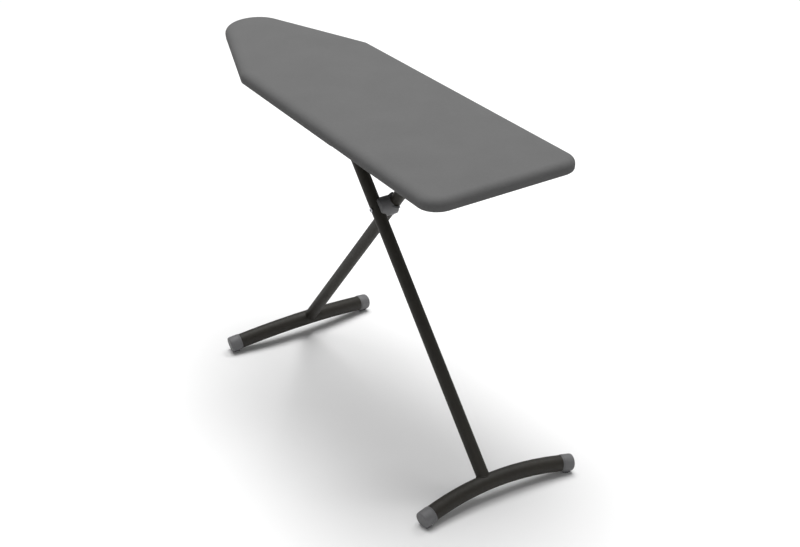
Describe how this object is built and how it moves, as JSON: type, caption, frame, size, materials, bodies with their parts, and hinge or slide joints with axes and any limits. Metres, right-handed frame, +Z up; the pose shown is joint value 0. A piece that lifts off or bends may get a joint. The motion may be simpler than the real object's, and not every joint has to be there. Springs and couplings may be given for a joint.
{
  "type": "ironing board",
  "caption": "Free-standing folding ironing board: padded cloth-covered steel top with a rounded nose on crossed T legs that fold flat by a sliding carriage.",
  "frame": {"origin": "on the floor under the middle of the board", "axes": "+X towards the broad heel end, +Y across the board, +Z up"},
  "size_m": [1.244, 0.4438, 0.86],
  "materials": {
    "cover_cloth": "dark grey woven cotton cover",
    "pad_foam": "pale needled felt over foam",
    "grey_enamel": "dark grey powder-coated sheet steel",
    "black_powder_coat": "satin black powder coat on round tube",
    "grey_plastic": "moulded mid-grey polypropylene",
    "black_plastic": "moulded black plastic",
    "zinc_plated_steel": "zinc-plated steel",
    "ground_steel": "bright ground steel bar"
  },
  "bodies": {
    "board": {"ironing_cover": "cover_cloth", "foam_pad": "pad_foam", "steel_top": "grey_enamel", "rim_channel": "grey_enamel", "cross_stay_1": "grey_enamel", "cross_stay_2": "grey_enamel", "cross_stay_3": "grey_enamel", "slide_rail_left": "grey_enamel", "slide_rail_right": "grey_enamel", "hinge_bracket_left": "grey_enamel", "hinge_bracket_right": "grey_enamel", "guide_rod": "ground_steel", "rod_bracket_front": "grey_enamel", "rod_bracket_rear": "grey_enamel"},
    "nose_leg": {"nose_leg_tube": "black_powder_coat", "nose_leg_axle": "black_powder_coat", "nose_leg_foot": "black_powder_coat", "nose_leg_top_plug": "grey_plastic", "nose_leg_cap_left": "grey_plastic", "nose_leg_cap_right": "grey_plastic", "pivot_sleeve": "grey_plastic", "pivot_rivet": "zinc_plated_steel", "pivot_washer": "zinc_plated_steel", "axle_push_nuts": "zinc_plated_steel"},
    "heel_leg": {"heel_leg_tube": "black_powder_coat", "heel_leg_axle": "black_powder_coat", "heel_leg_foot": "black_powder_coat", "heel_leg_top_plug": "grey_plastic", "heel_leg_cap_left": "grey_plastic", "heel_leg_cap_right": "grey_plastic", "pivot_saddle": "grey_plastic"},
    "carriage": {"slide_shoe_left": "black_plastic", "slide_shoe_right": "black_plastic", "clutch_housing": "zinc_plated_steel", "clutch_spring": "zinc_plated_steel"},
    "clutch": {"clutch_plates": "zinc_plated_steel"},
    "lever": {"release_lever": "black_powder_coat", "lever_grip": "black_plastic"}
  },
  "joints": [
    {"name": "fold", "type": "hinge", "parent": "board", "child": "nose_leg", "pos_m": [0.28636, 0, 0.804], "axis": [0, 1, 0], "range_deg": [-3, 45.5]},
    {"name": "leg_cross", "type": "hinge", "parent": "nose_leg", "child": "heel_leg", "pos_m": [0.0966, 0, 0.58493], "axis": [0, 1, 0], "range_deg": [-91, 6]},
    {"name": "carriage_turn", "type": "hinge", "parent": "heel_leg", "child": "carriage", "pos_m": [-0.09316, 0, 0.804], "axis": [0, 1, 0], "range_deg": [-3, 45.5]},
    {"name": "release", "type": "hinge", "parent": "carriage", "child": "lever", "pos_m": [-0.12516, 0, 0.808], "axis": [0, 1, 0], "range_deg": [0, 8], "stiffness_Nm_per_rad": 3, "springref_deg": -5.73},
    {"name": "clutch_tilt", "type": "hinge", "parent": "carriage", "child": "clutch", "pos_m": [-0.11786, 0, 0.83947], "axis": [0, 1, 0], "range_deg": [-3.6, 0]}
  ],
  "couplings": [
    {"joint": "leg_cross", "follows": "fold", "ratio": -2},
    {"joint": "carriage_turn", "follows": "fold", "ratio": 1},
    {"joint": "clutch_tilt", "follows": "release", "ratio": -0.45}
  ]
}
